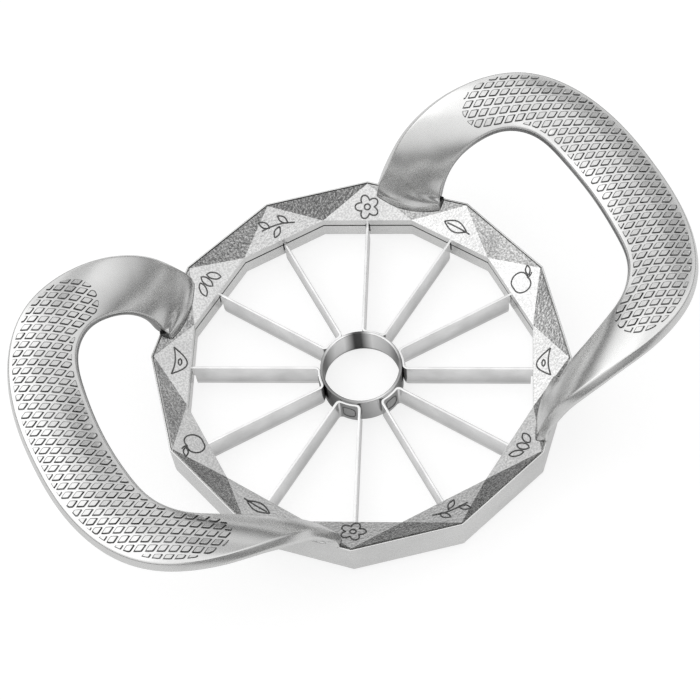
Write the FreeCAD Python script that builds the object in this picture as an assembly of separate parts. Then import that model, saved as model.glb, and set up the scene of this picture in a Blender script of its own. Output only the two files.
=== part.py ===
import FreeCAD, Part
import math
import os

# Apple slicer and wedger: a twelve-sided ring cast in one with two ribbon handles, a faceted
# crown let into its rim, a round corer in the middle and six bent strips that make the blades.
# Millimetres, +Z up. The origin is on the ring's axis, in the plane of the cutting edges, which
# is also the plane the tool rests on. The handles lie along +X and -X.

# Cutting set
SLICES = 12  # wedges that an apple is cut into, one blade to each
CORE_DIAMETER = 24.4  # outside of the corer
CORE_WALL = 0.9
CORE_HEIGHT = 10.2
CORE_LIP_BEVEL = 0.2  # broken top edges of the corer
CORE_EDGE = 0.3  # what the grinding inside leaves at the corer's lower edge
CORE_GRIND_HEIGHT = 1.8
BLADE_THICKNESS = 0.8
BLADE_HEIGHT = 9.5
EDGE_THICKNESS = 0.15  # what the grinding leaves at the cutting edge
GRIND_HEIGHT = 1.6
BEND_RADIUS = 0.9  # inside of the bend between a blade and its web
BLADE_END_GAP = 0.6  # blade's lower corner to the ring's inner wall
TONGUE_BEYOND_WALL = 1.1  # how far a blade's tongue stands out behind the inner wall

# Ring, heights from its underside
EDGE_DROP = 3.5  # cutting edges below the ring's underside
OPENING_ACROSS_FLATS = 101.6
RING_WIDTH = 9.09  # from the opening's flats out to the ring's flats
RIM_HEIGHT = 12.8
SEAM_HEIGHT = 4.8  # top of the inner wall, where the crown sits on it
WALL = 2.0
FLOOR = 1.8
LIP = 0.45  # rim left standing round the crown
SHOULDER_DEPTH = 2.2  # from the rim down to the ledge that carries the crown
SLOT_CLEARANCE = 0.25  # each side of a blade
SLOT_OVERCUT = 1.0  # slots start this far before the wall and end this far behind it

# Crown
CROWN_INNER_HEIGHT = 7.9  # edge of the opening above the ring's underside
CROWN_SKIN = 2.4
REVEAL = 0.15  # gap between the crown and what surrounds it

# Handles: ribbons that stand on the ring's diagonal flats and meet in a grip
FOOT_FLAT = 1  # the ring's flat that a foot stands on, counted from the one beside +X as 0
FOOT_SHIFT = 2.0  # from the middle of the ring's flat, away from the X axis
FOOT_WIDTH = 20.0
FOOT_DEPTH = 3.4  # from the ring's flat to the ribbon's creases
FOOT_DOME = 1.6  # rise of the ribbon's face over its creases where it meets the ring
FOOT_UPRIGHT = 1.2  # height above the rim over which a foot still stands upright
HANDLE_REACH = 45.8  # from the feet out to the middle of the grip
HANDLE_RISE = 29.6  # from the rim up to the highest crease
HANDLE_SECTIONS = 11  # even steps that the ribbon's loft is cut into, both feet counted
OUTER_EDGE = 3.6  # height of the grip's side under its outer crease
INNER_EDGE = 2.6  # height of the grip's side under its inner crease
GRIP_DOME = 1.2  # rise of the top face over its creases
OUTER_FLARE = 0.75  # how far the outer side leans out from its crease
INNER_FLARE = 0.85  # how far the inner side leans out from its crease
GRIP_BEVEL = 3.0  # width of the bevels along the underside
GRIP_BELLY = 2.0  # depth of those bevels
FOOT_BLEND = 0.12  # share of the ribbon over which the foot's outline turns into the grip's

# The two creases of a handle's top face at stations from foot to grip: place outward as a share
# of the reach, sideways as a share of the foot's distance from the middle, and height as a share
# of the rise. Both creases begin at the foot and cross the middle square to it.
OUTER_CREASE = [
    (-0.18, 1.140, 0.27),
    (-0.03, 1.170, 0.63),
    (0.21, 1.200, 0.90),
    (0.495, 1.195, 1.03),
    (0.82, 1.075, 1.08),
    (1.02, 0.870, 1.055),
    (1.175, 0.465, 1.01),
    (1.215, 0.000, 0.99),
]
INNER_CREASE = [
    (0.085, 0.835, 0.07),
    (0.125, 0.855, 0.29),
    (0.24, 0.863, 0.60),
    (0.40, 0.840, 0.82),
    (0.573, 0.764, 0.947),
    (0.69, 0.625, 0.98),
    (0.762, 0.348, 0.945),
    (0.785, 0.000, 0.925),
]

# Worked out from the above
SECTOR = 360.0 / SLICES
COS_HALF = math.cos(math.radians(SECTOR / 2))
BASE_Z = EDGE_DROP
RIM_Z = BASE_Z + RIM_HEIGHT
SEAM_Z = BASE_Z + SEAM_HEIGHT
FLOOR_Z = BASE_Z + FLOOR
SHOULDER_Z = RIM_Z - SHOULDER_DEPTH
CROWN_INNER_Z = BASE_Z + CROWN_INNER_HEIGHT
OPENING_CORNER_R = OPENING_ACROSS_FLATS / 2 / COS_HALF
RING_FLAT_R = OPENING_ACROSS_FLATS / 2 + RING_WIDTH
RING_CORNER_R = RING_FLAT_R / COS_HALF
CORE_R = CORE_DIAMETER / 2
TIP_R = OPENING_ACROSS_FLATS / 2 + WALL + TONGUE_BEYOND_WALL
SLOT_WIDTH = BLADE_THICKNESS + 2 * SLOT_CLEARANCE
FOOT_ANGLE = (FOOT_FLAT + 0.5) * SECTOR
FOOT_BEVEL = FOOT_WIDTH / 4  # where the flush bevels of the grip's underside begin on a foot


def polar(radius, degrees, z=0.0):
    angle = math.radians(degrees)
    return FreeCAD.Vector(radius * math.cos(angle), radius * math.sin(angle), z)


def turned(shape, degrees):
    copy = shape.copy()
    copy.rotate(FreeCAD.Vector(0, 0, 0), FreeCAD.Vector(0, 0, 1), degrees)
    return copy


def raised(shape, height):
    copy = shape.copy()
    copy.translate(FreeCAD.Vector(0, 0, height))
    return copy


def blend(first, second, share):
    return first + (second - first) * share


def corner_points(corner_radius, first_angle, z):
    return [polar(corner_radius, first_angle + i * SECTOR, z) for i in range(SLICES)]


def flat_face(points):
    return Part.Face(Part.makePolygon(points + points[:1]))


def prism(corner_radius, first_angle, z_low, z_high):
    base = flat_face(corner_points(corner_radius, first_angle, z_low))
    return base.extrude(FreeCAD.Vector(0, 0, z_high - z_low))


def ring_prism(inset, z_low, z_high):
    """The ring's outline, moved inwards by inset."""
    return prism(RING_CORNER_R - inset / COS_HALF, 0.0, z_low, z_high)


def opening_prism(outset, z_low, z_high):
    """The opening's outline, moved outwards by outset."""
    return prism(OPENING_CORNER_R + outset / COS_HALF, SECTOR / 2, z_low, z_high)


def channel(z_low, z_high):
    """The space between the ring's two walls."""
    return ring_prism(WALL, z_low, z_high).cut(opening_prism(WALL, z_low, z_high))


def faceted_ring(z_low, drop):
    """Ring between opening and rim whose top is folded into flat triangles, lowered by drop."""
    outer_r = RING_CORNER_R - (LIP + REVEAL) / COS_HALF
    inner_top = corner_points(OPENING_CORNER_R, SECTOR / 2, CROWN_INNER_Z - drop)
    outer_top = corner_points(outer_r, 0.0, RIM_Z - drop)
    inner_low = corner_points(OPENING_CORNER_R, SECTOR / 2, z_low)
    outer_low = corner_points(outer_r, 0.0, z_low)
    faces = []
    for i in range(SLICES):
        before = i - 1
        after = (i + 1) % SLICES
        for inner, outer in ((inner_top, outer_top), (inner_low, outer_low)):
            faces.append(flat_face([inner[before], outer[i], inner[i]]))
            faces.append(flat_face([outer[i], outer[after], inner[i]]))
        faces.append(flat_face([inner_low[before], inner_low[i], inner_top[i], inner_top[before]]))
        faces.append(flat_face([outer_low[i], outer_low[after], outer_top[after], outer_top[i]]))
    solid = Part.makeSolid(Part.makeShell(faces))
    if solid.Volume < 0:
        solid.reverse()
    return solid.removeSplitter()


def slot_cutters(z_low, z_high):
    """One upright slot through the inner wall for each blade."""
    inner_x = OPENING_ACROSS_FLATS / 2 - SLOT_OVERCUT
    start = FreeCAD.Vector(inner_x, -SLOT_WIDTH / 2, z_low)
    slot = Part.makeBox(WALL + 2 * SLOT_OVERCUT, SLOT_WIDTH, z_high - z_low, start)
    return [turned(slot, i * SECTOR) for i in range(SLICES)]


def ribbon_section(middle, across, normal, width, edges, dome, bevel, belly):
    """Closed outline of the ribbon; middle lies between the two creases of its top face.

    A dome spans the creases, a leaning side goes down from each by its height in edges, outer
    first, and the underside is bevelled to a flat that lies deeper than the sides by belly.
    """
    outer_crease = middle + across * (width / 2)
    inner_crease = middle - across * (width / 2)
    outer_low = outer_crease - normal * edges[0] + across * OUTER_FLARE
    inner_low = inner_crease - normal * edges[1] - across * INNER_FLARE
    outer_turn = outer_low - normal * belly - across * bevel
    inner_turn = inner_low - normal * belly + across * bevel
    dome_curve = Part.BezierCurve()
    dome_curve.setPoles([inner_crease, middle + normal * (2 * dome), outer_crease])
    corners = [outer_crease, outer_low, outer_turn, inner_turn, inner_low, inner_crease]
    sides = [Part.makeLine(first, second) for first, second in zip(corners, corners[1:])]
    return Part.Wire([dome_curve.toShape()] + sides)


def foot_creases():
    """Where the ribbon's outer and inner crease start on the +Y foot, at the rim."""
    along_flat = polar(1.0, FOOT_ANGLE + 90)
    middle = polar(RING_FLAT_R - FOOT_DEPTH, FOOT_ANGLE, RIM_Z) + along_flat * FOOT_SHIFT
    return middle + along_flat * (FOOT_WIDTH / 2), middle - along_flat * (FOOT_WIDTH / 2)


def mirrored(point):
    return FreeCAD.Vector(point.x, -point.y, point.z)


def crease_points(start, stations):
    """A crease from the +Y foot over the grip to the -Y foot."""
    foot = polar(RING_FLAT_R, FOOT_ANGLE)
    points = [start, start + FreeCAD.Vector(0, 0, FOOT_UPRIGHT)]
    for out, sideways, up in stations:
        x = foot.x + HANDLE_REACH * out
        points.append(FreeCAD.Vector(x, foot.y * sideways, RIM_Z + HANDLE_RISE * up))
    return points + [mirrored(point) for point in reversed(points[:-1])]


def smooth_curve(points, spacing):
    curve = Part.BSplineCurve()
    curve.interpolate(Points=points, Parameters=spacing)
    return curve


def foot_outline(sign, spare=0.0):
    """Outline of an upright foot at the rim, sign +1 or -1 for the +Y or -Y one, grown by spare."""
    outer, inner = foot_creases()
    if sign < 0:
        outer = mirrored(outer)
        inner = mirrored(inner)
    across = (outer - inner) / FOOT_WIDTH
    inward = polar(-1.0, sign * FOOT_ANGLE)
    middle = (outer + inner) / 2 + inward * spare
    width = FOOT_WIDTH + 2 * spare
    depth = FOOT_DEPTH + 2 * spare
    edges = (depth, depth)
    return ribbon_section(middle, across, inward, width, edges, FOOT_DOME, FOOT_BEVEL, 0)


def foot_prisms(spare, z_low, z_high):
    """The four feet as upright prisms, grown by spare."""
    prisms = []
    for sign in (1, -1):
        face = Part.Face(raised(foot_outline(sign, spare), z_low - RIM_Z))
        foot = face.extrude(FreeCAD.Vector(0, 0, z_high - z_low))
        prisms += [foot, turned(foot, 180)]
    return prisms


def ribbon_sections():
    """Outlines of the ribbon from the +Y foot over the grip to the -Y foot."""
    outer_start, inner_start = foot_creases()
    outer_points = crease_points(outer_start, OUTER_CREASE)
    inner_points = crease_points(inner_start, INNER_CREASE)
    middles = [(a + b) / 2 for a, b in zip(outer_points, inner_points)]
    spacing = [0.0]
    for first, second in zip(middles, middles[1:]):
        spacing.append(spacing[-1] + first.distanceToPoint(second))
    outer_curve = smooth_curve(outer_points, spacing)
    inner_curve = smooth_curve(inner_points, spacing)
    sections = [foot_outline(1), raised(foot_outline(1), FOOT_UPRIGHT)]
    for i in range(1, HANDLE_SECTIONS - 1):
        share = i / (HANDLE_SECTIONS - 1)
        place = spacing[-1] * share
        outer = outer_curve.value(place)
        inner = inner_curve.value(place)
        along = outer_curve.tangent(place)[0] + inner_curve.tangent(place)[0]
        across = outer - inner
        width = across.Length
        normal = along.cross(across)
        across.normalize()
        normal.normalize()
        grip = min(1.0, min(share, 1.0 - share) / FOOT_BLEND)
        middle = (outer + inner) / 2
        edges = (blend(FOOT_DEPTH, OUTER_EDGE, grip), blend(FOOT_DEPTH, INNER_EDGE, grip))
        bevel = blend(FOOT_BEVEL, GRIP_BEVEL, grip)
        dome = blend(FOOT_DOME, GRIP_DOME, grip)
        belly = GRIP_BELLY * grip
        sections.append(ribbon_section(middle, across, normal, width, edges, dome, bevel, belly))
    return sections + [raised(foot_outline(-1), FOOT_UPRIGHT), foot_outline(-1)]


def make_body_casting():
    """Ring and both handles in one piece."""
    ring = ring_prism(0.0, BASE_Z, RIM_Z).cut(opening_prism(0.0, BASE_Z, RIM_Z))
    ring = ring.cut(channel(FLOOR_Z, SEAM_Z))
    ring = ring.cut(ring_prism(WALL, SEAM_Z, RIM_Z))
    ring = ring.cut(ring_prism(LIP, SHOULDER_Z, RIM_Z))
    ring = ring.fuse(foot_prisms(0.0, BASE_Z, RIM_Z))
    ring = ring.cut(slot_cutters(FLOOR_Z, SEAM_Z))
    ribbon = Part.makeLoft(ribbon_sections(), True, False)
    return ring.fuse([ribbon, turned(ribbon, 180)]).removeSplitter()


def make_crown():
    hollow = faceted_ring(SEAM_Z, CROWN_SKIN).common(channel(SEAM_Z, RIM_Z))
    under_ledge = ring_prism(0.0, SEAM_Z, SHOULDER_Z)
    under_ledge = under_ledge.cut(ring_prism(WALL + REVEAL, SEAM_Z, SHOULDER_Z))
    crown = faceted_ring(SEAM_Z, 0.0).cut([hollow, under_ledge])
    crown = crown.cut(foot_prisms(REVEAL, SEAM_Z, RIM_Z))
    return crown.cut(slot_cutters(SEAM_Z, BLADE_HEIGHT)).removeSplitter()


def make_core_ring():
    tube = Part.makeCylinder(CORE_R, CORE_HEIGHT)
    tube = tube.cut(Part.makeCylinder(CORE_R - CORE_WALL, CORE_HEIGHT))
    tube = tube.cut(Part.makeCone(CORE_R - CORE_EDGE, CORE_R - CORE_WALL, CORE_GRIND_HEIGHT))
    top_edges = [edge for edge in tube.Edges if edge.BoundBox.ZMin > CORE_HEIGHT / 2]
    return tube.makeChamfer(CORE_LIP_BEVEL, top_edges)


def strip_outline(thickness, z):
    """Plan of one bent strip: a blade along +X, a web round the corer, a blade at one sector."""
    web_r = CORE_R + BLADE_THICKNESS / 2
    bend_r = BEND_RADIUS + BLADE_THICKNESS / 2
    bend_x = math.sqrt((web_r + bend_r) ** 2 - bend_r ** 2)
    bend_centre = FreeCAD.Vector(bend_x, bend_r, z)
    touch = math.degrees(math.asin(bend_r / (web_r + bend_r)))
    towards_blade = 270
    towards_corer = 180 + touch

    def opposite(point):
        radius = math.hypot(point.x, point.y)
        return polar(radius, SECTOR - math.degrees(math.atan2(point.y, point.x)), z)

    def arc(first, middle, last):
        return Part.Arc(first, middle, last).toShape()

    edges = []
    tips = []
    for offset in (-thickness / 2, thickness / 2):
        tip = FreeCAD.Vector(TIP_R, offset, z)
        bend_start = FreeCAD.Vector(bend_x, offset, z)
        halfway = (towards_blade + towards_corer) / 2
        bend_middle = bend_centre + polar(bend_r - offset, halfway)
        bend_end = polar(web_r + offset, touch, z)
        web_middle = polar(web_r + offset, SECTOR / 2, z)
        edges.append(Part.makeLine(tip, bend_start))
        edges.append(arc(bend_start, bend_middle, bend_end))
        edges.append(arc(bend_end, web_middle, opposite(bend_end)))
        edges.append(arc(opposite(bend_end), opposite(bend_middle), opposite(bend_start)))
        edges.append(Part.makeLine(opposite(bend_start), opposite(tip)))
        tips.append(tip)
    edges.append(Part.makeLine(tips[0], tips[1]))
    edges.append(Part.makeLine(opposite(tips[0]), opposite(tips[1])))
    return Part.Wire(Part.__sortEdges__(edges))


def make_blade_pair():
    """One bent strip with ground lower edges and tongues that lie in the inner wall's slots."""
    edge = strip_outline(EDGE_THICKNESS, 0.0)
    full = strip_outline(BLADE_THICKNESS, GRIND_HEIGHT)
    ground = Part.makeLoft([edge, full], True, True)
    upper = Part.Face(full).extrude(FreeCAD.Vector(0, 0, BLADE_HEIGHT - GRIND_HEIGHT))
    strip = ground.fuse(upper)
    shoulder_x = OPENING_ACROSS_FLATS / 2 - BLADE_END_GAP
    corner = FreeCAD.Vector(shoulder_x, -SLOT_WIDTH, 0.0)
    notch = Part.makeBox(TIP_R, 2 * SLOT_WIDTH, FLOOR_Z, corner)
    return strip.cut([notch, turned(notch, SECTOR)]).removeSplitter()


def make_parts():
    parts = {
        "body_casting": make_body_casting(),
        "crown": make_crown(),
        "core_ring": make_core_ring(),
    }
    strip = make_blade_pair()
    for i in range(SLICES // 2):
        parts["blade_pair_%d" % (i + 1)] = turned(strip, (2 * i + 1) * SECTOR)
    return parts


os.makedirs("parts", exist_ok=True)
for name, shape in make_parts().items():
    shape.exportStep("parts/%s.step" % name)
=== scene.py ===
import bmesh
import bpy
import math
import numpy as np
from mathutils import Matrix, Vector
from mathutils.bvhtree import BVHTree


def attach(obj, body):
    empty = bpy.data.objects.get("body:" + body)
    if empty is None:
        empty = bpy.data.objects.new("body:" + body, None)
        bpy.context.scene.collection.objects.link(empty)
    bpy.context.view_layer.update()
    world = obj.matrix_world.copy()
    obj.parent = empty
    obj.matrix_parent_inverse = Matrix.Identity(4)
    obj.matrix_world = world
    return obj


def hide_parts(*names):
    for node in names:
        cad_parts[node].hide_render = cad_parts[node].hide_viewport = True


# Apple slicer and wedger. Sizes are millimetres in the part's own frame: +Z up, origin on the
# ring's axis in the plane of the cutting edges. Pieces are scaled to metres as they are made.
MM = 0.001

# Ring and crown, from the inside out and from the base up
SECTORS = 12
SECTOR = 360 / SECTORS
OPENING_FLAT = 50.8
RING_WIDTH = 9.09
RING_FLAT = OPENING_FLAT + RING_WIDTH
WALL = 2.0
LIP = 0.45
REVEAL = 0.15
RIM_GAP = 0.4
SLOT_WIDTH = 1.3
BASE_Z = 3.5
FLOOR_Z = 5.3
SEAM_Z = 8.3
SEAM_GAP = 0.55
CROWN_INNER_Z = 11.4
CROWN_SKIN = 2.4
SHOULDER_Z = 14.1
RIM_Z = 16.3
RING_EDGE = 0.12
RING_EDGE_ANGLE = 12
CROWN_EDGE = 0.15
CROWN_EDGE_ANGLE = 8
EDGE_SEGMENTS = 2

# Cutting set
CORE_R = 12.2
CORE_WALL = 0.9
CORE_HEIGHT = 10.2
CORE_EDGE = 0.3
CORE_GRIND = 1.8
CORE_ROUNDS = (0.08, 0.28, 0.28, 0.3, 0.08)
CORE_SIDES = 128
CORE_SHARP = 40
BLADE_THICKNESS = 0.8
BLADE_HEIGHT = 9.5
BLADE_GRIND = 1.6
BLADE_EDGE = 0.15
BLADE_ROUNDS = (0, 0, 0.15, 0.14, 0.14, 0.15)
BLADE_CORNER_STEPS = 3
BLADE_TIP = 53.9
BLADE_SHOULDER = 50.2
BLADE_STATIONS = (BLADE_TIP, BLADE_SHOULDER, 35, 20)
BLADE_SHARP = 30
BEND_RADIUS = 0.9
BEND_STEPS = 8

# Handles. A crease's station is (share of the reach, share of the foot's Y, share of the rise).
FOOT_ANGLE = 45.0
FOOT_SHIFT = 2.0
FOOT_WIDTH = 20.0
FOOT_DEPTH = 3.4
FOOT_DOME = 1.6
FOOT_BEVEL = 5.0
FOOT_UPRIGHT = 1.2
FOOT_INSET = 0.08
FOOT_BLEND = 0.12
REACH = 45.8
RISE = 29.6
OUTER_EDGE = 3.6
INNER_EDGE = 2.6
GRIP_DOME = 1.2
GRIP_BEVEL = 3.0
GRIP_BELLY = 2.0
OUTER_FLARE = 0.75
INNER_FLARE = 0.85
OUTER_CREASE = [
    (-0.18, 1.140, 0.27),
    (-0.03, 1.170, 0.63),
    (0.21, 1.200, 0.90),
    (0.495, 1.195, 1.03),
    (0.82, 1.075, 1.08),
    (1.02, 0.870, 1.055),
    (1.175, 0.465, 1.01),
    (1.215, 0.000, 0.99),
]
INNER_CREASE = [
    (0.085, 0.835, 0.07),
    (0.125, 0.855, 0.29),
    (0.24, 0.863, 0.60),
    (0.40, 0.840, 0.82),
    (0.573, 0.764, 0.947),
    (0.69, 0.625, 0.98),
    (0.762, 0.348, 0.945),
    (0.785, 0.000, 0.925),
]
CREASE_ROUND = 0.5
SIDE_ROUND = 0.9
BELLY_ROUND = 1.6
CREASE_SINK = 0.7
HANDLE_STATIONS = 181
DOME_POINTS = 13
CORNER_STEPS = 4
INNER_SIDE_POINTS = CORNER_STEPS + 1
HANDLE_SHARP = 40
RAIL_STEP = 1e-4

# Knurl: raised rhombic pads, laid out in plan and let down onto the grip. A pad's rings are
# (share of its outline, share of its rise).
PAD_PITCH = 3.09
PAD_SLANT = 30.0
PAD_BASE = 0.80
PAD_ROUND = 0.3
PAD_RISE = 0.38
PAD_RINGS = ((1.0, -0.6), (0.98, 0.12), (0.82, 0.22), (0.72, 0.90), (0.66, 1.0))
PAD_SIDES = 16
PAD_CORNER_STEPS = 3
PAD_SMALLEST = 0.7
PAD_SHARP = 25
KNURL_START = 0.185
KNURL_STOP = 0.805
KNURL_MARGIN = 1.1
KNURL_END_ROUND = 0.05
KNURL_STEPS = 120

# Motifs and weld marks. A ridge's profile is (share of its width, share of its rise).
RIDGE_PROFILE = ((-0.5, -0.6), (-0.22, 1.0), (0.22, 1.0), (0.5, -0.6))
MOTIF_CENTRE = 4.2
MOTIF_SIZE = 1.5
MOTIF_LINE = 0.62
MOTIF_RISE = 0.2
WELD_WIDTH = 3.8
WELD_HEIGHT = 5.0
WELD_ROUNDS = (1.2, 1.9, 1.9, 1.2)
WELD_CORNER_STEPS = 8
WELD_Z = 2.5
WELD_LINE = 0.45
WELD_RISE = 0.12

# How the pieces are made. Cutting shapes reach OVERCUT past the faces, or past a blade's middle,
# that they cut through. A face looks up if its normal is higher than FACES_UP, and lies nearly
# level if it is higher than LIES_FLAT. Edges of more than SHARP degrees are shaded sharp.
OVERCUT = 1.0
FACES_UP = 0.3
LIES_FLAT = 0.5
SHARP = 35
TINY = 1e-9

# Metals: darkest and lightest colour, lowest and highest roughness, depth of the grain
CAST_TONES = ((0.72, 0.72, 0.715), (0.90, 0.90, 0.895))
CAST_ROUGHNESS = (0.22, 0.30)
# Painted shade on the handles' sides under the inner crease
SIDE_SHADE_TONES = ((0.22, 0.22, 0.22), (0.45, 0.45, 0.45))
SIDE_ROUGHNESS = (0.20, 0.35)
# Painted shade in the seam between the casting and the crown
SEAM_SHADE_TONES = ((0.01, 0.01, 0.01), (0.04, 0.04, 0.04))
SEAM_ROUGHNESS = (0.40, 0.60)
PAD_TONES = ((0.60, 0.60, 0.595), (0.88, 0.88, 0.875))
PAD_ROUGHNESS = (0.12, 0.28)
# Painted shade on the flanks of the knurl's pads
FLANK_SHADE_TONES = ((0.05, 0.05, 0.05), (0.24, 0.24, 0.24))
FLANK_ROUGHNESS = (0.22, 0.40)
PLAIN_FACET_TONES = ((0.32, 0.32, 0.32), (0.76, 0.76, 0.755))
PLAIN_FACET_DEPTH = 0.15
MOTIF_FACET_TONES = ((0.64, 0.64, 0.64), (0.86, 0.86, 0.855))
MOTIF_FACET_DEPTH = 0.06
FACET_ROUGHNESS = (0.12, 0.28)
MOTIF_TONES = ((0.05, 0.05, 0.05), (0.25, 0.25, 0.25))
MOTIF_ROUGHNESS = (0.35, 0.55)
# Painted shade on the webs, down in the corner between two blades
WEB_SHADE_TONES = ((0.28, 0.28, 0.28), (0.50, 0.50, 0.50))
WEB_ROUGHNESS = (0.25, 0.40)
STRIP_ROUGHNESS = (0.16, 0.26)
CORER_ROUGHNESS = (0.08, 0.14)
CORER_GRAZING_TINT = (0.4, 0.4, 0.4, 1)

# Painted shade and highlight up a strip's height; painted reflections once round the corer from -Y
# by way of -X
STRIP_PAINTED_SHADING = ((0.0, 0.70), (0.17, 0.80), (0.2, 0.66), (0.6, 0.86), (0.93, 0.97), (0.97, 0.98))
CORER_PAINTED_REFLECTIONS = (
    (0.0, 0.85), (0.10, 0.40), (0.25, 0.20), (0.38, 0.45), (0.45, 0.98), (0.50, 0.98),
    (0.545, 0.08), (0.575, 0.10), (0.62, 0.98), (0.70, 0.90), (0.80, 0.25), (0.90, 0.40),
    (1.0, 0.85))

# The parts of a noise's range that are spread over what it drives
NOISE_RANGE = (0.3, 0.7)
NOISE_CORE = (0.35, 0.65)
PIT_RANGE = (0.42, 0.58)

# Light: greys by the height of the direction, away from the panel and towards it. An edge is the
# nearness to a direction at which something begins and is full. A gap is a darker patch of the
# studio: (its direction, its edge, its depth).
SKY = ((0.0, 0.08), (0.1, 0.15), (0.2, 0.34), (0.3, 0.52), (0.42, 0.68), (0.6, 0.82), (1.0, 1.08))
PANEL = (
    (0.0, 0.06), (0.12, 0.12), (0.22, 0.38), (0.34, 0.78), (0.5, 0.90), (0.75, 0.90), (1.0, 1.0))
PANEL_SIDE = (-0.75, 0.66, 0.0)
PANEL_EDGE = (-0.6, 0.85)
GAPS = (
    ((0.10, -0.72, 0.69), (0.90, 0.95), 0.75),
    ((0.50, 0.47, 0.728), (0.965, 0.99), 0.45),
)
KEY_PLACE = (-0.42, 0.42, 0.7)
KEY_SIZE = 0.7
KEY_POWER = 0.7
FLOOR_SIZE = 2000
FLOOR_COLOUR = (0.35, 0.35, 0.35, 1)
FLOOR_ROUGHNESS = 0.9
FLOOR_GLOW = 0.77
FLOOR_GLOW_IN_METAL = 0.45
WHITE = (1, 1, 1, 1)

# Camera, solved from the outlines of the ring, the blades' ends and the corer
CAMERA_TARGET = Vector((0, 0, 3.5 * MM))
CAMERA_AZIMUTH = -21.13
CAMERA_ELEVATION = 61.26
CAMERA_DISTANCE = 578.1 * MM
CAMERA_ROLL = 7.609
CAMERA_LENS = 99.31
CAMERA_SENSOR = 36
CAMERA_SHIFT = (-0.0179, 0.0392)


# Shapes shared by the pieces

def polar(radius, degrees, z=0.0):
    angle = math.radians(degrees)
    return Vector((radius * math.cos(angle), radius * math.sin(angle), z))


def blend(first, second, share):
    return first + (second - first) * share


def half_turned(points):
    """The same points after half a turn about the ring's axis."""
    return [Vector((-p.x, -p.y, p.z)) for p in points]


def turned(points, degrees):
    turn = Matrix.Rotation(math.radians(degrees), 3, "Z")
    return [turn @ p for p in points]


def mirrored(points):
    """The same points on the other side of the plane of X and Z."""
    return [Vector((p.x, -p.y, p.z)) for p in points]


def corner_radius(flat_radius):
    return flat_radius / math.cos(math.pi / SECTORS)


def twelve_corners(radius, first_angle, z):
    return [polar(radius, first_angle + SECTOR * i, z) for i in range(SECTORS)]


def ring_corners(inset, z):
    """Corners of the ring's outline, moved inwards."""
    return twelve_corners(corner_radius(RING_FLAT - inset), 0, z)


def opening_corners(outset, z):
    """Corners of the opening's outline, moved outwards."""
    return twelve_corners(corner_radius(OPENING_FLAT + outset), SECTOR / 2, z)


def rounded_corners(corners, radii, steps):
    """Outline with each corner turned into a short curve; a radius of 0 keeps the point."""
    outline = []
    for i, corner in enumerate(corners):
        radius = radii[i]
        if not radius:
            outline.append(corner)
            continue
        before = corners[i - 1] - corner
        after = corners[(i + 1) % len(corners)] - corner
        start = corner + before.normalized() * min(radius, before.length / 2)
        end = corner + after.normalized() * min(radius, after.length / 2)
        for j in range(steps + 1):
            t = j / steps
            outline.append(start * (1 - t) ** 2 + corner * 2 * t * (1 - t) + end * t * t)
    return outline


def skin(loops, closed=False):
    """Points and faces over a row of closed loops; an open row gets end caps."""
    count = len(loops[0])
    points = [p for loop in loops for p in loop]
    faces = []
    for i in range(len(loops) if closed else len(loops) - 1):
        here = i * count
        there = (i + 1) % len(loops) * count
        for j in range(count):
            k = (j + 1) % count
            faces.append((here + j, here + k, there + k, there + j))
    if not closed:
        faces.append(tuple(range(count)))
        faces.append(tuple(range(len(points) - count, len(points))))
    return points, faces


def joined(parts):
    """Points and faces of several parts as one."""
    points = []
    faces = []
    for part_points, part_faces in parts:
        first = len(points)
        points += part_points
        faces += [tuple(first + i for i in face) for face in part_faces]
    return points, faces


def block(low, high):
    """A box between two corners."""
    loops = []
    for x in (low[0], high[0]):
        loops.append([Vector((x, y, z)) for y, z in (
            (low[1], low[2]), (high[1], low[2]), (high[1], high[2]), (low[1], high[2]))])
    return skin(loops)


# Meshes and pieces

def mesh_of(name, shape):
    points, faces = shape
    mesh = bpy.data.meshes.new(name)
    mesh.from_pydata([p * MM for p in points], [], faces)
    work = bmesh.new()
    work.from_mesh(mesh)
    bmesh.ops.recalc_face_normals(work, faces=work.faces)
    work.to_mesh(mesh)
    work.free()
    return mesh


def cut(mesh, shape):
    """The mesh with a shape taken out of it."""
    body = bpy.data.objects.new("body", mesh)
    tool = bpy.data.objects.new("tool", mesh_of("tool", shape))
    for obj in (body, tool):
        bpy.context.collection.objects.link(obj)
    boolean = body.modifiers.new("cut", "BOOLEAN")
    boolean.object = tool
    boolean.operation = "DIFFERENCE"
    boolean.solver = "EXACT"
    boolean.use_self = True
    graph = bpy.context.evaluated_depsgraph_get()
    result = bpy.data.meshes.new_from_object(body.evaluated_get(graph))
    for obj in (body, tool):
        bpy.data.objects.remove(obj)
    return result


def add_piece(name, mesh, material, nodes, sharp=SHARP):
    """Puts a mesh in the scene as a piece of the part; it stands for the nodes named."""
    mesh.name = name
    mesh.materials.clear()
    mesh.materials.append(material)
    mesh.shade_smooth()
    mesh.set_sharp_from_angle(angle=math.radians(sharp))
    piece = bpy.data.objects.new(name, mesh)
    bpy.context.collection.objects.link(piece)
    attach(piece, "root")
    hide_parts(*nodes)
    return piece


def sort_faces(piece, materials, choose):
    """Gives a piece more materials; choose() gives the number of a face's material."""
    for material in materials:
        piece.data.materials.append(material)
    for face in piece.data.polygons:
        face.material_index = choose(face)


def soften_edges(piece, width, angle):
    """Rounds the edges that are sharper than an angle and leaves the flats flat."""
    bevel = piece.modifiers.new("edges", "BEVEL")
    bevel.width = width * MM
    bevel.segments = EDGE_SEGMENTS
    bevel.limit_method = "ANGLE"
    bevel.angle_limit = math.radians(angle)
    bevel.use_clamp_overlap = True
    normals = piece.modifiers.new("flats", "WEIGHTED_NORMAL")
    normals.keep_sharp = False


# Ring

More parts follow.
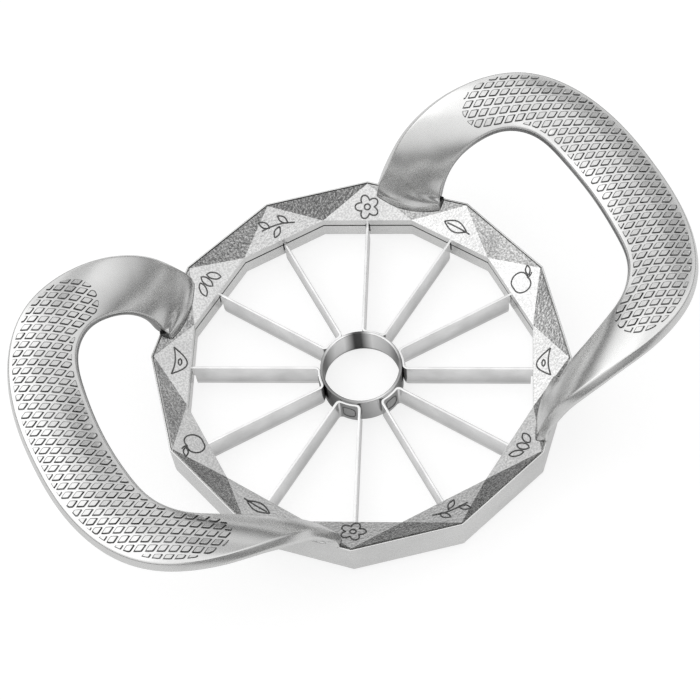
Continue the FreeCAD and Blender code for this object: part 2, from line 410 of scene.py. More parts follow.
def slots(z_low, z_high):
    """Upright cuts through the inner wall, one for each blade."""
    points, faces = block((OPENING_FLAT - OVERCUT, -SLOT_WIDTH / 2, z_low),
                          (OPENING_FLAT + WALL + OVERCUT, SLOT_WIDTH / 2, z_high))
    return joined([(turned(points, SECTOR * i), faces) for i in range(SECTORS)])


def casting_profile():
    """The ring's profile: (whether it is outer, distance in from the ring's outline if it is and
    out from the opening's if not, height)."""
    return [
        (False, 0.0, BASE_Z),
        (True, 0.0, BASE_Z),
        (True, 0.0, RIM_Z),
        (True, LIP, RIM_Z),
        (True, LIP, SHOULDER_Z),
        (True, WALL, SHOULDER_Z),
        (True, WALL, FLOOR_Z),
        (False, WALL, FLOOR_Z),
        (False, WALL, SEAM_Z),
        (False, 0.0, SEAM_Z),
    ]


def between(corners):
    """Points halfway along the sides of a closed outline, each before its corner."""
    return [(a + b) / 2 for a, b in zip([corners[-1]] + corners[:-1], corners)]


def casting_loops():
    """One loop for each corner of either outline, all in step round the ring."""
    rows = []
    for outer, offset, z in casting_profile():
        if outer:
            corners = ring_corners(offset, z)
            halves = between(corners[1:] + corners[:1])
            row = [p for pair in zip(corners, halves) for p in pair]
        else:
            corners = opening_corners(offset, z)
            halves = between(corners)
            row = [p for pair in zip(halves, corners) for p in pair]
        rows.append(row)
    return [list(loop) for loop in zip(*rows)]


def casting_finish(face):
    """Which of the casting's materials a face has: 0 all round, 1, painted shade in the seam, on
    top of the inner wall.
    """
    at_seam = abs(face.center.z / MM - SEAM_Z) < SEAM_GAP
    return int(at_seam and face.normal.z > LIES_FLAT)


def make_casting_ring(material, shade):
    mesh = mesh_of("ring", skin(casting_loops(), closed=True))
    mesh = cut(mesh, slots(FLOOR_Z, SEAM_Z + OVERCUT))
    piece = add_piece("casting_ring", mesh, material, ["body_casting"])
    sort_faces(piece, [shade], casting_finish)
    soften_edges(piece, RING_EDGE, RING_EDGE_ANGLE)


# Handles

def spline_slopes(places, points):
    """Slopes of the smooth curve through the points, with its ends as free cubics."""
    count = len(places)
    steps = np.diff(places)
    rises = np.diff(points, axis=0) / steps[:, None]
    system = np.zeros((count, count))
    known = np.zeros((count, 3))
    for end, span in ((0, slice(0, 4)), (count - 1, slice(count - 4, count))):
        cubic = np.polyfit(places[span] - places[end], points[span], 3)
        system[end, end] = 1
        known[end] = cubic[2]
    for i in range(1, count - 1):
        before = 1 / steps[i - 1]
        after = 1 / steps[i]
        system[i, i - 1:i + 2] = before, 2 * (before + after), after
        known[i] = 3 * (rises[i - 1] * before + rises[i] * after)
    return np.linalg.solve(system, known)


def spline_point(places, points, slopes, place):
    i = min(max(int(np.searchsorted(places, place)) - 1, 0), len(places) - 2)
    step = places[i + 1] - places[i]
    t = (place - places[i]) / step
    return Vector(
        (1 + 2 * t) * (1 - t) ** 2 * points[i] + t * (1 - t) ** 2 * step * slopes[i]
        + t * t * (3 - 2 * t) * points[i + 1] - t * t * (1 - t) * step * slopes[i + 1])


def foot_creases():
    """Outer and inner crease where the ribbon stands on the ring, at the rim."""
    along = polar(1, FOOT_ANGLE + 90)
    middle = polar(RING_FLAT - FOOT_DEPTH, FOOT_ANGLE, RIM_Z) + along * FOOT_SHIFT
    return middle + along * (FOOT_WIDTH / 2), middle - along * (FOOT_WIDTH / 2)


def crease_points(start, stations):
    """A crease from one foot to the other: a short upright stretch, the stations, and back."""
    foot = polar(RING_FLAT, FOOT_ANGLE)
    points = [start, start + Vector((0, 0, FOOT_UPRIGHT))]
    for out, sideways, up in stations:
        points.append(Vector((foot.x + REACH * out, foot.y * sideways, RIM_Z + RISE * up)))
    return points + mirrored(reversed(points[:-1]))


class Rails:
    """The two creases of the right-hand handle's top face as smooth curves."""

    def __init__(self):
        outer_start, inner_start = foot_creases()
        outer = crease_points(outer_start, OUTER_CREASE)
        inner = crease_points(inner_start, INNER_CREASE)
        middles = [(a + b) / 2 for a, b in zip(outer, inner)]
        steps = [(b - a).length for a, b in zip(middles, middles[1:])]
        self.places = np.concatenate(([0.0], np.cumsum(steps)))
        self.creases = []
        for points in (np.array(outer), np.array(inner)):
            self.creases.append((points, spline_slopes(self.places, points)))

    def at(self, share):
        """Outer crease, inner crease and direction of the ribbon at a share of its length."""
        place = self.places[-1] * share
        step = self.places[-1] * RAIL_STEP
        along = Vector((0, 0, 0))
        ends = []
        for points, slopes in self.creases:
            near = [spline_point(self.places, points, slopes, place + i * step) for i in (-1, 0, 1)]
            along += (near[2] - near[0]).normalized()
            ends.append(near[1])
        return ends[0], ends[1], along.normalized()


def ribbon_outline(width, edges, dome, bevel, belly, sink=0.0):
    """Section of the ribbon: x across it towards the outer crease, y out of its top face."""
    half = width / 2
    corners = []
    radii = []
    for i in range(DOME_POINTS):
        s = i / (DOME_POINTS - 1)
        corners.append(Vector((half * (2 * s - 1), 4 * dome * s * (1 - s) - sink)))
        radii.append(0.0)
    radii[0] = radii[-1] = CREASE_ROUND
    for x, y, radius in (
        (half + OUTER_FLARE, -edges[0], SIDE_ROUND),
        (half + OUTER_FLARE - bevel, -edges[0] - belly, BELLY_ROUND),
        (-half - INNER_FLARE + bevel, -edges[1] - belly, BELLY_ROUND),
        (-half - INNER_FLARE, -edges[1], SIDE_ROUND),
    ):
        corners.append(Vector((x, y)))
        radii.append(radius)
    return rounded_corners(corners, radii, CORNER_STEPS)


def placed(outline, middle, across, normal):
    return [middle + across * p.x + normal * p.y for p in outline]


def foot_loop(z, inset=0.0, room=0.0):
    """The +Y foot's outline at a height, moved in from the ring's wall and made larger."""
    outer, inner = foot_creases()
    across = (outer - inner).normalized()
    middle = (outer + inner) / 2 + polar(-inset, FOOT_ANGLE)
    middle.z = z
    depth = FOOT_DEPTH + 2 * room
    outline = ribbon_outline(FOOT_WIDTH + 2 * room, (depth, depth), FOOT_DOME, FOOT_BEVEL, 0.0)
    return placed(outline, middle, across, polar(-1, FOOT_ANGLE))


def root_loops():
    """The +Y foot from inside the ring's wall up to the rim, where it is flush with the wall."""
    return [
        foot_loop(SEAM_Z, FOOT_INSET),
        foot_loop(RIM_Z - FOOT_INSET, FOOT_INSET),
        foot_loop(RIM_Z),
    ]


def handle_loops(rails):
    """Sections of the right-hand handle from foot to foot."""
    loops = root_loops()
    for i in range(1, HANDLE_STATIONS - 1):
        share = i / (HANDLE_STATIONS - 1)
        outer, inner, along = rails.at(share)
        across = (outer - inner).normalized()
        normal = along.cross(across).normalized()
        grip = min(1.0, min(share, 1 - share) / FOOT_BLEND)
        outline = ribbon_outline(
            (outer - inner).length,
            (blend(FOOT_DEPTH, OUTER_EDGE, grip), blend(FOOT_DEPTH, INNER_EDGE, grip)),
            blend(FOOT_DOME, GRIP_DOME - PAD_RISE + CREASE_SINK, grip),
            blend(FOOT_BEVEL, GRIP_BEVEL, grip),
            GRIP_BELLY * grip,
            CREASE_SINK * grip)
        loops.append(placed(outline, (outer + inner) / 2, across, normal))
    return loops + [mirrored(loop) for loop in reversed(root_loops())]


# Knurl on the grips

def knurl_region(rails):
    """Outline, in plan and anticlockwise, of the part of the grip that is knurled."""
    outer_side = []
    inner_side = []
    for i in range(KNURL_STEPS + 1):
        share = blend(KNURL_START, KNURL_STOP, i / KNURL_STEPS)
        outer, inner, along = rails.at(share)
        across = (outer - inner).normalized()
        end = min(share - KNURL_START, KNURL_STOP - share) / KNURL_END_ROUND
        fullness = math.sqrt(max(0.0, 1 - (1 - min(1.0, end)) ** 2))
        middle = (outer + inner) / 2
        reach = ((outer - inner).length / 2 - KNURL_MARGIN) * fullness
        outer_side.append((middle + across * reach).to_2d())
        inner_side.append((middle - across * reach).to_2d())
    return inner_side[1:-1] + list(reversed(outer_side))


def clipped(polygon, convex):
    """The polygon's share inside a convex polygon whose corners run anticlockwise."""
    for i, start in enumerate(convex):
        side = convex[(i + 1) % len(convex)] - start
        kept = []
        for j, point in enumerate(polygon):
            previous = polygon[j - 1]
            depth = side.cross(point - start)
            depth_before = side.cross(previous - start)
            if (depth >= 0) != (depth_before >= 0):
                kept.append(previous.lerp(point, depth_before / (depth_before - depth)))
            if depth >= 0:
                kept.append(point)
        polygon = kept
    return polygon


def area_of(polygon):
    return sum(polygon[i - 1].cross(point) for i, point in enumerate(polygon)) / 2


def shrunk(polygon, share):
    """The polygon drawn towards its own middle."""
    middle = sum(polygon, Vector((0, 0))) / len(polygon)
    return [middle.lerp(point, share) for point in polygon]


def resampled(polygon, count):
    """As many points evenly round the polygon, from its point furthest along +X."""
    first = max(range(len(polygon)), key=lambda i: polygon[i].x)
    ring = polygon[first:] + polygon[:first]
    lengths = [(b - a).length for a, b in zip(ring, ring[1:] + ring[:1])]
    total = sum(lengths)
    result = []
    for i in range(count):
        left = total * i / count
        j = 0
        while left > lengths[j] and j < len(ring) - 1:
            left -= lengths[j]
            j += 1
        after = ring[(j + 1) % len(ring)]
        result.append(ring[j].lerp(after, left / max(lengths[j], TINY)))
    return result


def rhombus(centre):
    """A pad's outline about its centre, longer along X, with soft corners."""
    long_half = PAD_PITCH * PAD_BASE * math.cos(math.radians(PAD_SLANT))
    short_half = PAD_PITCH * PAD_BASE * math.sin(math.radians(PAD_SLANT))
    corners = [centre + Vector(v) for v in (
        (long_half, 0), (0, short_half), (-long_half, 0), (0, -short_half))]
    return rounded_corners(corners, [PAD_ROUND * PAD_BASE] * len(corners), PAD_CORNER_STEPS)


def pad_centres(region):
    """Lattice points over the region's box."""
    step_x = PAD_PITCH * math.cos(math.radians(PAD_SLANT))
    step_y = PAD_PITCH * math.sin(math.radians(PAD_SLANT))
    low_x = min(p.x for p in region)
    high_x = max(p.x for p in region)
    high_y = max(p.y for p in region)
    columns = int((high_x - low_x) / step_x) + 2
    rows = int(high_y / step_y) + 2
    centres = []
    for i in range(columns):
        for j in range(-rows, rows + 1):
            if (i + j) % 2 == 0:
                centres.append(Vector((low_x + i * step_x, j * step_y)))
    return centres


def laid_on(surface, point, lift):
    """The point in plan let down onto a surface with inward normals, then raised off it."""
    start = Vector((point.x, point.y, RIM_Z + 2 * RISE))
    place, normal, _, _ = surface.ray_cast(start, Vector((0, 0, -1)))
    return place - normal * lift


def pad_shape(surface, base):
    """One pad from below the surface, over a low foot and a steep flank, to its flat top."""
    outline = resampled(base, PAD_SIDES)
    rings = []
    for share, level in PAD_RINGS:
        rings.append([laid_on(surface, p, PAD_RISE * level) for p in shrunk(outline, share)])
    return skin(rings)


def pad_finish(face):
    """Which of a pad's materials a face has: 0 from its soft top edge up, 1, painted shade, below.
    """
    bands = len(PAD_RINGS) - 1
    faces_per_pad = bands * PAD_SIDES + 2
    return int(face.index % faces_per_pad < (bands - 1) * PAD_SIDES)


def knurl_shape(rails, grip):
    surface = BVHTree.FromPolygons(*grip)
    region = knurl_region(rails)
    pads = []
    for centre in pad_centres(region):
        base = clipped(region, rhombus(centre))
        if area_of(base) > PAD_SMALLEST:
            pads.append(pad_shape(surface, base))
    return joined(pads)


def make_handles(zinc, side_zinc_painted_shade, pad_zinc, flank_zinc_painted_shade):
    rails = Rails()
    loops = handle_loops(rails)
    grip = skin(loops)
    pads = knurl_shape(rails, grip)
    around = len(loops[0])

    def handle_finish(face):
        """Which material a face has: 1, painted shade, on the side under the inner crease; 0
        elsewhere.
        """
        return int(face.index % around >= around - INNER_SIDE_POINTS)

    for side, turn in (("right", list), ("left", half_turned)):
        mesh = mesh_of("handle", (turn(grip[0]), grip[1]))
        piece = add_piece("handle_" + side, mesh, zinc, ["body_casting"], HANDLE_SHARP)
        sort_faces(piece, [side_zinc_painted_shade], handle_finish)
        mesh = mesh_of("knurl", (turn(pads[0]), pads[1]))
        piece = add_piece("knurl_" + side, mesh, pad_zinc, ["body_casting"], PAD_SHARP)
        sort_faces(piece, [flank_zinc_painted_shade], pad_finish)


# Crown

def crown_shape():
    """Ring folded into flat triangles on top, upright inside, with a thin skin below."""
    rows = [
        opening_corners(0, CROWN_INNER_Z),
        ring_corners(LIP + RIM_GAP, RIM_Z),
        ring_corners(LIP + RIM_GAP, SHOULDER_Z),
        ring_corners(WALL + REVEAL, SHOULDER_Z),
        ring_corners(WALL + REVEAL, SHOULDER_Z - CROWN_SKIN),
        opening_corners(WALL, SEAM_Z + SEAM_GAP),
        opening_corners(0, SEAM_Z + SEAM_GAP),
    ]
    points = [p for row in rows for p in row]
    faces = []

    def row_face(row, first, second, *others):
        corners = ((row, first), (row, second)) + others
        return tuple(r * SECTORS + i % SECTORS for r, i in corners)

    for i in range(SECTORS):
        after = i + 1
        faces.append(row_face(0, i - 1, i, (1, i)))
        faces.append(row_face(1, i, after, (0, i)))
        for row in (1, 2, 3):
            faces.append(row_face(row, i, after, (row + 1, after), (row + 1, i)))
        faces.append(row_face(4, i, after, (5, i)))
        faces.append(row_face(5, i - 1, i, (4, i)))
        faces.append(row_face(5, i, after, (6, after), (6, i)))
        faces.append(row_face(6, i, after, (0, after), (0, i)))
    return points, faces


def foot_recesses():
    """Room in the crown for the four feet."""
    heights = (SEAM_Z - OVERCUT, RIM_Z + OVERCUT)
    points, faces = skin([foot_loop(z, REVEAL, REVEAL) for z in heights])
    other = mirrored(points)
    return joined([(p, faces) for p in (points, other, half_turned(points), half_turned(other))])


def crown_finish(face):
    """Which material a face has: 0 plain facets, 1 motif facets, 2 walls, 3 underside, in painted
    shade.
    """
    if face.normal.z < -LIES_FLAT:
        return 3
    if face.normal.z < FACES_UP:
        return 2
    # Motif facets lean a whole number of sectors round, plain facets half a sector more.
    sectors = math.atan2(face.normal.y, face.normal.x) * SECTORS / (2 * math.pi)
    return int(abs(sectors - round(sectors)) < 1 / 4)


def make_crown(plain, motif_facet, wall, shade):
    mesh = mesh_of("crown", crown_shape())
    mesh = cut(mesh, slots(SEAM_Z - OVERCUT, BLADE_HEIGHT))
    mesh = cut(mesh, foot_recesses())
    piece = add_piece("crown_cover", mesh, plain, ["crown"])
    sort_faces(piece, [motif_facet, wall, shade], crown_finish)
    soften_edges(piece, CROWN_EDGE, CROWN_EDGE_ANGLE)


# Motifs: line drawings in low relief, one on each facet that has its base along the opening.
# A drawing's x runs along that base and its y up the facet; it is at most about 7 by 5 units.

def ring_line(radius, steps=40):
    """Closed line whose radius is a function of the angle."""
    angles = [2 * math.pi * i / steps for i in range(steps)]
    return [Vector((radius(a) * math.cos(a), radius(a) * math.sin(a))) for a in angles], True


def arc_line(start, end, rise, steps=14):
    """Open line from start to end, bowed sideways by rise."""
    side = Vector((start[1] - end[1], end[0] - start[0])).normalized()
    points = []
    for i in range(steps + 1):
        t = i / steps
        points.append(Vector(start).lerp(Vector(end), t) + side * (rise * math.sin(math.pi * t)))
    return points, False


def moved(line, x, y, turn=0.0, size=1.0):
    points, closed = line
    angle = math.radians(turn)
    c = math.cos(angle) * size
    s = math.sin(angle) * size
    return [Vector((x + c * p.x - s * p.y, y + s * p.x + c * p.y)) for p in points], closed


def leaf_outline():
    return [arc_line((-2.6, 0), (2.6, 0), 1.15), arc_line((-2.6, 0), (2.6, 0), -1.15)]


def leaf_lines():
    return leaf_outline() + [arc_line((-3.4, -0.2), (1.9, 0), 0.1)]


def apple_lines():
    body = ring_line(lambda a: 2.15 * (1 - 0.2 * max(0.0, math.sin(a)) ** 6
                                       - 0.1 * max(0.0, -math.sin(a)) ** 12))
    leaf = [moved(line, 1.3, 2.5, 25, 0.42) for line in leaf_outline()]
    return [body, arc_line((0, 1.5), (0.4, 2.9), 0.15)] + leaf


def blossom_lines():
    petals = ring_line(lambda a: 2.5 * (0.55 + 0.45 * abs(math.cos(2.5 * a))), 70)
    return [petals, ring_line(lambda a: 0.6, 16)]


def pip_line():
    return ring_line(lambda a: 1.5 * (1 - 0.55 * abs(math.sin(a)) ** 0.8), 24)


def pip_lines():
    places = ((-1.9, 0, 60), (0, 0.4, 90), (1.9, 0, 120))
    return [moved(pip_line(), x, y, turn) for x, y, turn in places]


def twig_lines():
    lines = [arc_line((-3.6, -0.6), (3.4, 0.6), 0.5)]
    for x, y, turn in ((-1.6, 1.0, 60), (0.6, -0.9, -40), (2.4, 1.5, 50)):
        lines += [moved(line, x, y, turn, 0.5) for line in leaf_outline()]
    return lines


def wedge_lines():
    return [arc_line((-3.0, 0.9), (3.0, 0.9), -3.0), arc_line((-3.0, 0.9), (3.0, 0.9), -0.5),
            moved(pip_line(), 0, -0.6, 0, 0.5)]


def facet_place(i):
    """What carries drawing coordinates and a lift onto the facet below the ring's corner i."""
    inner = opening_corners(0, CROWN_INNER_Z)
    middle = (inner[i - 1] + inner[i]) / 2
    apex = ring_corners(LIP + RIM_GAP, RIM_Z)[i]
    along = (inner[i] - inner[i - 1]).normalized()
    up = (apex - middle).normalized()
    normal = up.cross(along)
    centre = middle + up * MOTIF_CENTRE

    def place(x, y, lift):
        return centre + (along * x + up * y) * MOTIF_SIZE + normal * lift

    return place


def ridge(line, place, width, rise):
    """A low ridge along a line drawn on a surface."""
    points, closed = line
    count = len(points)
    loops = []
    for i, point in enumerate(points):
        before = points[i - 1] if closed or i else point
        after = points[(i + 1) % count] if closed or i < count - 1 else point
        side = Vector((before.y - after.y, after.x - before.x)).normalized()
        loop = []
        for share, level in RIDGE_PROFILE:
            loop.append(place(*(point + side * (width * share)), rise * level))
        loops.append(loop)
    return skin(loops, closed)


def make_motifs(material):
    motifs = (apple_lines, leaf_lines, blossom_lines, twig_lines, pip_lines, wedge_lines)
    parts = []
    for i in range(SECTORS):
        for line in motifs[i % len(motifs)]():
            parts.append(ridge(line, facet_place(i), MOTIF_LINE / MOTIF_SIZE, MOTIF_RISE))
    add_piece("crown_motifs", mesh_of("motifs", joined(parts)), material, ["crown"])


# Corer and blades

def make_core(material):
    bore = CORE_R - CORE_WALL
    corners = [Vector(v) for v in (
        (CORE_R, 0.0),
        (CORE_R, CORE_HEIGHT),
        (bore, CORE_HEIGHT),
        (bore, CORE_GRIND),
        (CORE_R - CORE_EDGE, 0.0),
    )]
    outline = rounded_corners(corners, CORE_ROUNDS, CORNER_STEPS)
    loops = []
    for i in range(CORE_SIDES):
        loops.append([polar(p.x, 360 * i / CORE_SIDES, p.y) for p in outline])
    mesh = mesh_of("core", skin(loops, closed=True))
    add_piece("corer_tube", mesh, material, ["core_ring"], CORE_SHARP)


def across_sector(point):
    """Mirror image in the middle of the first sector."""
    radius = math.hypot(point.x, point.y)
    return polar(radius, SECTOR - math.degrees(math.atan2(point.y, point.x)))


def strip_path():
    """Stations of a bent strip from one blade's tip round the corer to the next: place, side."""
    web = CORE_R + BLADE_THICKNESS / 2
    bend = BEND_RADIUS + BLADE_THICKNESS / 2
    touch = math.degrees(math.asin(bend / (web + bend)))
    centre = Vector((math.sqrt((web + bend) ** 2 - bend ** 2), bend, 0))
    arm = [(Vector((x, 0, 0)), Vector((0, 1, 0))) for x in BLADE_STATIONS]
    for i in range(BEND_STEPS + 1):
        angle = blend(270, 180 + touch, i / BEND_STEPS)
        arm.append((centre + polar(bend, angle), polar(-1, angle)))
    round_core = []
    for i in range(1, BEND_STEPS):
        angle = blend(touch, SECTOR - touch, i / BEND_STEPS)
        round_core.append((polar(web, angle), polar(1, angle)))
    far_arm = [(across_sector(place), across_sector(side)) for place, side in reversed(arm)]
    return arm + round_core + far_arm


def strip_section():
    half = BLADE_THICKNESS / 2
    edge = BLADE_EDGE / 2
    corners = [Vector(v) for v in (
        (-edge, 0.0),
        (edge, 0.0),
        (half, BLADE_GRIND),
        (half, BLADE_HEIGHT),
        (-half, BLADE_HEIGHT),
        (-half, BLADE_GRIND),
    )]
    return rounded_corners(corners, BLADE_ROUNDS, BLADE_CORNER_STEPS)


def strip_shape():
    loops = []
    for place, side in strip_path():
        loops.append([place + side * p.x + Vector((0, 0, p.y)) for p in strip_section()])
    return skin(loops)


def strip_finish(face):
    """Which material a face has: 1, painted shade, on the web but not on its top edge; 0 elsewhere.
    """
    on_web = face.center.to_2d().length < (CORE_R + BLADE_THICKNESS + BLADE_EDGE) * MM
    return int(on_web and face.normal.z < FACES_UP)


def make_blades(material, web_shade_material):
    notch = block((BLADE_SHOULDER, -OVERCUT, -OVERCUT), (BLADE_TIP + OVERCUT, OVERCUT, FLOOR_Z))
    notches = joined([notch, (turned(notch[0], SECTOR), notch[1])])
    for i in range(SECTORS // 2):
        mesh = cut(mesh_of("strip", strip_shape()), notches)
        mesh.transform(Matrix.Rotation(math.radians((2 * i + 1) * SECTOR), 4, "Z"))
        node = "blade_pair_%d" % (i + 1)
        piece = add_piece("blades_%d" % (i + 1), mesh, material, [node], BLADE_SHARP)
        sort_faces(piece, [web_shade_material], strip_finish)


def weld_line():
    """A rounded rectangle, fuller on one side."""
    half = WELD_WIDTH / 2
    corners = [Vector(v) for v in (
        (-half, 0), (half, 0), (half, WELD_HEIGHT), (-half, WELD_HEIGHT))]
    return rounded_corners(corners, WELD_ROUNDS, WELD_CORNER_STEPS), True


def web_place(degrees):
    """What carries drawing coordinates and a lift onto the outside of a web."""
    radius = CORE_R + BLADE_THICKNESS

    def place(x, y, lift):
        return polar(radius + lift, degrees + math.degrees(x / radius), WELD_Z + y)

    return place


def make_welds(material):
    """The outline that spot welding leaves on each web."""
    parts = []
    nodes = []
    for i in range(SECTORS // 2):
        middle = (2 * i + 1.5) * SECTOR
        parts.append(ridge(weld_line(), web_place(middle), WELD_LINE, WELD_RISE))
        nodes.append("blade_pair_%d" % (i + 1))
    add_piece("web_welds", mesh_of("welds", joined(parts)), material, nodes)


# Materials

def fill_ramp(ramp, stops):
    for i, (place, grey) in enumerate(stops):
        elements = ramp.color_ramp.elements
        stop = elements[i] if i < 2 else elements.new(place)
        stop.position = place
        stop.color = (grey, grey, grey, 1)


def fill_range(node, source, target):
    for name, number in zip(("From Min", "From Max", "To Min", "To Max"), (*source, *target)):
        node.inputs[name].default_value = number


class Look:
    """A material being made, with short ways to add nodes to it. Texture scales are per metre."""

    def __init__(self, name, metallic=1.0):
        self.material = bpy.data.materials.new(name)
        self.material.use_nodes = True
        self.nodes = self.material.node_tree.nodes
        self.links = self.material.node_tree.links
        self.shader = self.nodes["Principled BSDF"]
        self.shader.inputs["Metallic"].default_value = metallic
        self.place = self.nodes.new("ShaderNodeTexCoord").outputs["Object"]

    def noise(self, scale, detail, stretch=(1, 1, 1)):
        mapping = self.nodes.new("ShaderNodeMapping")
        mapping.inputs["Scale"].default_value = stretch
        self.links.new(self.place, mapping.inputs["Vector"])
        texture = self.nodes.new("ShaderNodeTexNoise")
        texture.inputs["Scale"].default_value = scale
        texture.inputs["Detail"].default_value = detail
        self.links.new(mapping.outputs["Vector"], texture.inputs["Vector"])
        return texture.outputs["Fac"]

    def ranged(self, value, source, target):
        """The value carried from one range, such as a noise's, to another."""
        remap = self.nodes.new("ShaderNodeMapRange")
        fill_range(remap, source, target)
        self.links.new(value, remap.inputs["Value"])
        return remap.outputs["Result"]

    def maths(self, operation, *values):
        node = self.nodes.new("ShaderNodeMath")
        node.operation = operation
        for i, value in enumerate(values):
            if isinstance(value, (int, float)):
                node.inputs[i].default_value = value
            else:
                self.links.new(value, node.inputs[i])
        return node.outputs["Value"]

    def curve(self, value, stops):
        """A grey for each value, by straight stretches between the stops."""
        ramp = self.nodes.new("ShaderNodeValToRGB")
        fill_ramp(ramp, stops)
        self.links.new(value, ramp.inputs["Fac"])
        return ramp.outputs["Color"]

    def position(self, axis):
        parts = self.nodes.new("ShaderNodeSeparateXYZ")
        self.links.new(self.place, parts.inputs["Vector"])
        return parts.outputs[axis]

    def tone(self, factor, tones):
        """A colour between the darkest and the lightest of a metal's tones."""
        dark, light = tones
        mix = self.nodes.new("ShaderNodeMix")
        mix.data_type = "RGBA"
        mix.inputs["A"].default_value = (*dark, 1)
        mix.inputs["B"].default_value = (*light, 1)
        self.links.new(factor, mix.inputs["Factor"])
        return mix.outputs["Result"]

    def bump(self, height, depth):
        bump = self.nodes.new("ShaderNodeBump")
        bump.inputs["Distance"].default_value = depth * MM
        self.links.new(height, bump.inputs["Height"])
        self.links.new(bump.outputs["Normal"], self.shader.inputs["Normal"])

    def finish(self, colour, roughness):
        self.links.new(colour, self.shader.inputs["Base Color"])
        self.links.new(roughness, self.shader.inputs["Roughness"])
        return self.material


def satin_zinc(name, tones, roughness):
    """Tumbled casting: clouded tone, faint flow marks, fine pitting."""
    look = Look(name)
    clouds = look.ranged(look.noise(scale=60, detail=3), NOISE_RANGE, target=(0, 0.55))
    grain = look.noise(scale=3200, detail=4)
    fleck = look.ranged(grain, NOISE_RANGE, target=(0, 0.45))
    colour = look.tone(look.maths("ADD", clouds, fleck), tones)
    flow = look.noise(scale=500, detail=2, stretch=(1, 0.25, 1))
    look.bump(look.maths("MULTIPLY_ADD", flow, 0.5, grain), depth=0.005)
    return look.finish(colour, look.ranged(grain, NOISE_RANGE, roughness))


def flank_zinc_painted_shade():
    """Flanks of the grip's pads: dull, and dark with painted shade."""
    look = Look("flank_zinc_painted_shade")
    grain = look.noise(scale=3200, detail=4)
    clouds = look.ranged(look.noise(scale=300, detail=3), NOISE_CORE, target=(0, 1))
    look.bump(grain, depth=0.014)
    colour = look.tone(clouds, FLANK_SHADE_TONES)
    return look.finish(colour, look.ranged(grain, NOISE_RANGE, FLANK_ROUGHNESS))


def blasted_zinc(name, tones, depth):
    """Crown: coarse sparkling grain, each grain tilted its own way, with darker pits."""
    look = Look(name)
    coarse = look.noise(scale=1300, detail=1.5)
    fine = look.noise(scale=4500, detail=3)
    pits = look.ranged(look.noise(scale=1700, detail=2), PIT_RANGE, target=(0, 0.7))
    clouds = look.ranged(look.noise(scale=90, detail=3), NOISE_CORE, target=(0, 0.3))
    colour = look.tone(look.maths("ADD", pits, clouds), tones)
    look.bump(look.maths("MULTIPLY_ADD", fine, 0.25, coarse), depth)
    return look.finish(colour, look.ranged(fine, NOISE_RANGE, FACET_ROUGHNESS))


def motif_zinc():
    """Raised lines of the motifs and weld marks: dark and dull."""
    look = Look("motif_zinc")
    grain = look.noise(scale=2600, detail=4)
    colour = look.tone(look.ranged(grain, NOISE_CORE, target=(0, 1)), MOTIF_TONES)
    look.bump(grain, depth=0.03)
    return look.finish(colour, look.ranged(grain, NOISE_RANGE, MOTIF_ROUGHNESS))


def blade_steel():
    """Rolled strip, brushed lengthwise: a painted highlight along the top, painted shade greyer
    down to the ground edge.
    """
    look = Look("blade_steel")
    height = look.maths("MULTIPLY", look.position("Z"), 1 / (BLADE_HEIGHT * MM))
    # Painted light and shade: lighter along the top, greyer towards the ground edge
    painted_shading = look.curve(height, STRIP_PAINTED_SHADING)
    clouds = look.ranged(look.noise(scale=110, detail=3), NOISE_RANGE, target=(0.88, 1.08))
    brushed = look.noise(scale=900, detail=3, stretch=(1, 1, 5))
    colour = look.maths("MULTIPLY", painted_shading, clouds)
    look.bump(brushed, depth=0.0025)
    return look.finish(colour, look.ranged(brushed, NOISE_RANGE, STRIP_ROUGHNESS))


def corer_steel_painted_reflections():
    """Polished tube with painted reflections in long soft bands round it, darker where it is seen
    at a low angle.
    """
    look = Look("core_steel_painted_reflections")
    look.shader.inputs["Specular Tint"].default_value = CORER_GRAZING_TINT
    turn = look.maths("ARCTAN2", look.position("X"), look.position("Y"))
    share = look.ranged(turn, (-math.pi, math.pi), target=(0, 1))
    # Painted reflections: light and dark bands by the angle round the tube
    bands = look.curve(share, CORER_PAINTED_REFLECTIONS)
    clouds = look.ranged(look.noise(scale=90, detail=3), NOISE_RANGE, target=(0.92, 1.05))
    brushed = look.noise(scale=700, detail=3, stretch=(1, 1, 6))
    look.bump(brushed, depth=0.0015)
    colour = look.maths("MULTIPLY", bands, clouds)
    return look.finish(colour, look.ranged(brushed, NOISE_RANGE, CORER_ROUGHNESS))


# Stage

